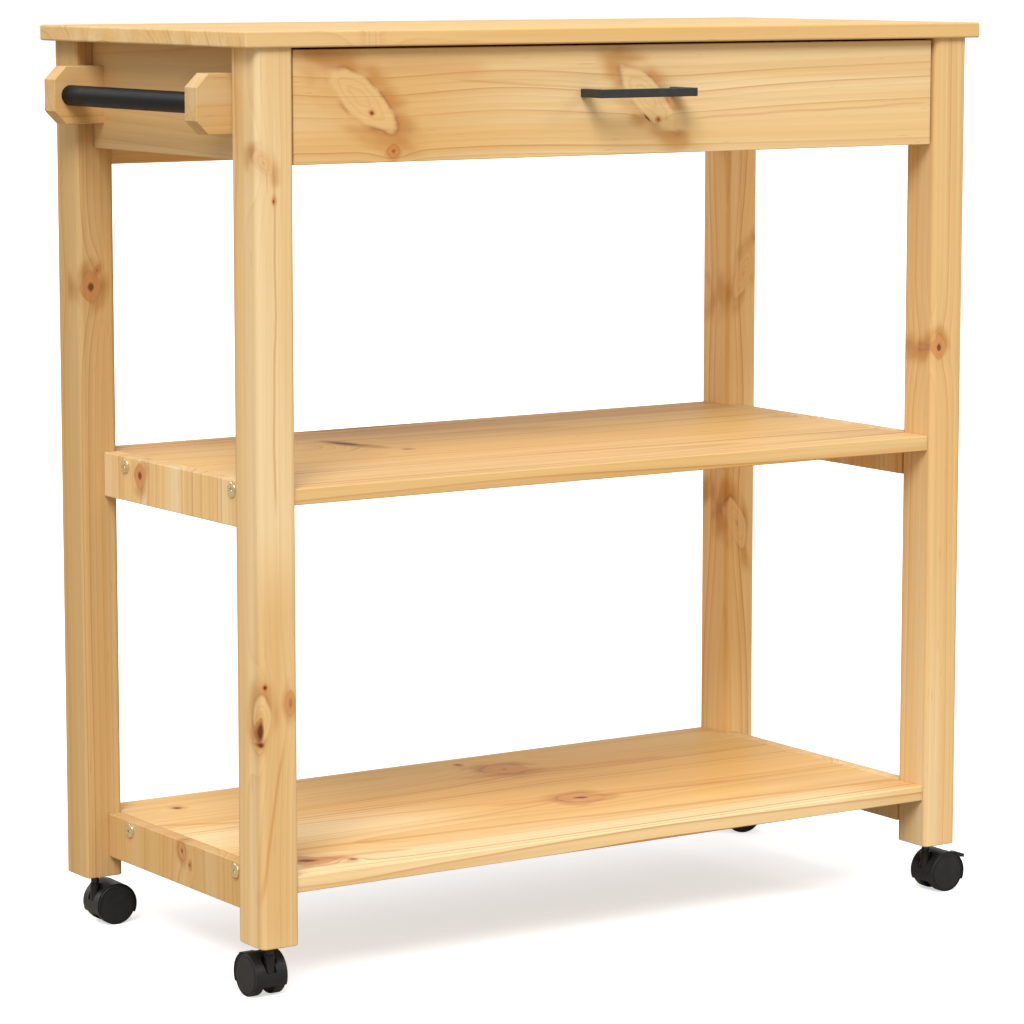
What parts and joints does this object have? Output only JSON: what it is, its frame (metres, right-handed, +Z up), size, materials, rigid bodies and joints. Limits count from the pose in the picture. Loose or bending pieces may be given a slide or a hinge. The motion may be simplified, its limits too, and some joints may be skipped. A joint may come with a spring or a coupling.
{
  "type": "kitchen island cart",
  "caption": "Rolling pine kitchen island cart with a worktop, a full-width drawer, open shelves, a side towel bar and braked twin-wheel castors.",
  "frame": {"origin": "bottom centre of the overall box, at floor level", "axes": "+X to the right along the worktop, +Y to the back (the drawer faces -Y), +Z up"},
  "size_m": [0.878, 0.425, 0.885],
  "materials": {
    "beech_dowels": "bare beech",
    "black_bar": "satin black powder coat",
    "black_pull": "satin black powder coat",
    "black_steel": "blackened steel",
    "castor_plastic": "satin moulded nylon",
    "drawer_panel": "thin plywood",
    "lever_plastic": "satin moulded nylon",
    "pine_drawer_front": "clear satin lacquer on pine",
    "pine_inner": "bare planed pine",
    "pine_legs": "clear satin lacquer on pine",
    "pine_rails": "clear satin lacquer on pine",
    "pine_shelves": "clear satin lacquer on edge-glued pine",
    "pine_top": "clear satin lacquer on edge-glued pine",
    "socket_plastic": "moulded nylon",
    "steel_pins": "plain steel",
    "wheel_plastic": "satin moulded nylon",
    "yellow_zinc": "pale yellow zinc plating",
    "zinc_screws": "zinc plated steel"
  },
  "bodies": {
    "cart": {"apron_back": "pine_rails", "apron_left": "pine_rails", "apron_right": "pine_rails", "bar_bracket_back": "pine_rails", "bar_bracket_front": "pine_rails", "barrel_nuts": "yellow_zinc", "bracket_screws": "zinc_screws", "castor_stems": "black_steel", "cleat_left": "pine_inner", "cleat_right": "pine_inner", "cleat_screws": "zinc_screws", "frame_dowels": "beech_dowels", "leg_back_left": "pine_legs", "leg_back_right": "pine_legs", "leg_front_left": "pine_legs", "leg_front_right": "pine_legs", "rail_lower_left": "pine_rails", "rail_lower_right": "pine_rails", "rail_middle_left": "pine_rails", "rail_middle_right": "pine_rails", "runner_left": "pine_inner", "runner_right": "pine_inner", "runner_screws": "zinc_screws", "shelf_bolts": "yellow_zinc", "shelf_lower": "pine_shelves", "shelf_middle": "pine_shelves", "stem_sockets": "socket_plastic", "tabletop": "pine_top", "towel_bar": "black_bar"},
    "drawer": {"drawer_front": "pine_drawer_front", "drawer_back": "pine_inner", "drawer_bottom": "drawer_panel", "drawer_side_left": "pine_inner", "drawer_side_right": "pine_inner", "drawer_pull": "black_pull", "pull_screws": "zinc_screws", "drawer_dowels": "beech_dowels", "drawer_screws": "zinc_screws"},
    "castor_front_left": {"castor_hood_front_left": "castor_plastic", "castor_axle_front_left": "steel_pins", "brake_pin_front_left": "steel_pins"},
    "wheel_left_front_left": {"wheel_left_front_left": "wheel_plastic"},
    "wheel_right_front_left": {"wheel_right_front_left": "wheel_plastic"},
    "brake_front_left": {"brake_lever_front_left": "lever_plastic"},
    "castor_front_right": {"castor_hood_front_right": "castor_plastic", "castor_axle_front_right": "steel_pins", "brake_pin_front_right": "steel_pins"},
    "wheel_left_front_right": {"wheel_left_front_right": "wheel_plastic"},
    "wheel_right_front_right": {"wheel_right_front_right": "wheel_plastic"},
    "brake_front_right": {"brake_lever_front_right": "lever_plastic"},
    "castor_back_left": {"castor_hood_back_left": "castor_plastic", "castor_axle_back_left": "steel_pins"},
    "wheel_left_back_left": {"wheel_left_back_left": "wheel_plastic"},
    "wheel_right_back_left": {"wheel_right_back_left": "wheel_plastic"},
    "castor_back_right": {"castor_hood_back_right": "castor_plastic", "castor_axle_back_right": "steel_pins"},
    "wheel_left_back_right": {"wheel_left_back_right": "wheel_plastic"},
    "wheel_right_back_right": {"wheel_right_back_right": "wheel_plastic"}
  },
  "joints": [
    {"name": "drawer_slide", "type": "slide", "parent": "cart", "child": "drawer", "axis": [0, -1, 0], "range_m": [0, 0.23]},
    {"name": "swivel_front_left", "type": "hinge", "parent": "cart", "child": "castor_front_left", "pos_m": [-0.385, -0.1595, 0.0515], "axis": [0, 0, 1], "continuous": true},
    {"name": "spin_left_front_left", "type": "hinge", "parent": "castor_front_left", "child": "wheel_left_front_left", "pos_m": [-0.385, -0.1435, 0.02], "axis": [-1, 0, 0], "continuous": true},
    {"name": "spin_right_front_left", "type": "hinge", "parent": "castor_front_left", "child": "wheel_right_front_left", "pos_m": [-0.385, -0.1435, 0.02], "axis": [-1, 0, 0], "continuous": true},
    {"name": "brake_front_left", "type": "hinge", "parent": "castor_front_left", "child": "brake_front_left", "pos_m": [-0.385, -0.1345, 0.033], "axis": [-1, 0, 0], "range_deg": [0, 12]},
    {"name": "swivel_front_right", "type": "hinge", "parent": "cart", "child": "castor_front_right", "pos_m": [0.391, -0.1595, 0.0515], "axis": [0, 0, 1], "continuous": true},
    {"name": "spin_left_front_right", "type": "hinge", "parent": "castor_front_right", "child": "wheel_left_front_right", "pos_m": [0.407, -0.1595, 0.02], "axis": [0, 1, 0], "continuous": true},
    {"name": "spin_right_front_right", "type": "hinge", "parent": "castor_front_right", "child": "wheel_right_front_right", "pos_m": [0.407, -0.1595, 0.02], "axis": [0, 1, 0], "continuous": true},
    {"name": "brake_front_right", "type": "hinge", "parent": "castor_front_right", "child": "brake_front_right", "pos_m": [0.416, -0.1595, 0.033], "axis": [0, 1, 0], "range_deg": [0, 12]},
    {"name": "swivel_back_left", "type": "hinge", "parent": "cart", "child": "castor_back_left", "pos_m": [-0.385, 0.1845, 0.0515], "axis": [0, 0, 1], "continuous": true},
    {"name": "spin_left_back_left", "type": "hinge", "parent": "castor_back_left", "child": "wheel_left_back_left", "pos_m": [-0.36901, 0.18394, 0.02], "axis": [0.0349, 0.9994, 0], "continuous": true},
    {"name": "spin_right_back_left", "type": "hinge", "parent": "castor_back_left", "child": "wheel_right_back_left", "pos_m": [-0.36901, 0.18394, 0.02], "axis": [0.0349, 0.9994, 0], "continuous": true},
    {"name": "swivel_back_right", "type": "hinge", "parent": "cart", "child": "castor_back_right", "pos_m": [0.391, 0.1845, 0.0515], "axis": [0, 0, 1], "continuous": true},
    {"name": "spin_left_back_right", "type": "hinge", "parent": "castor_back_right", "child": "wheel_left_back_right", "pos_m": [0.40562, 0.17799, 0.02], "axis": [0.4067, 0.9135, 0], "continuous": true},
    {"name": "spin_right_back_right", "type": "hinge", "parent": "castor_back_right", "child": "wheel_right_back_right", "pos_m": [0.40562, 0.17799, 0.02], "axis": [0.4067, 0.9135, 0], "continuous": true}
  ]
}
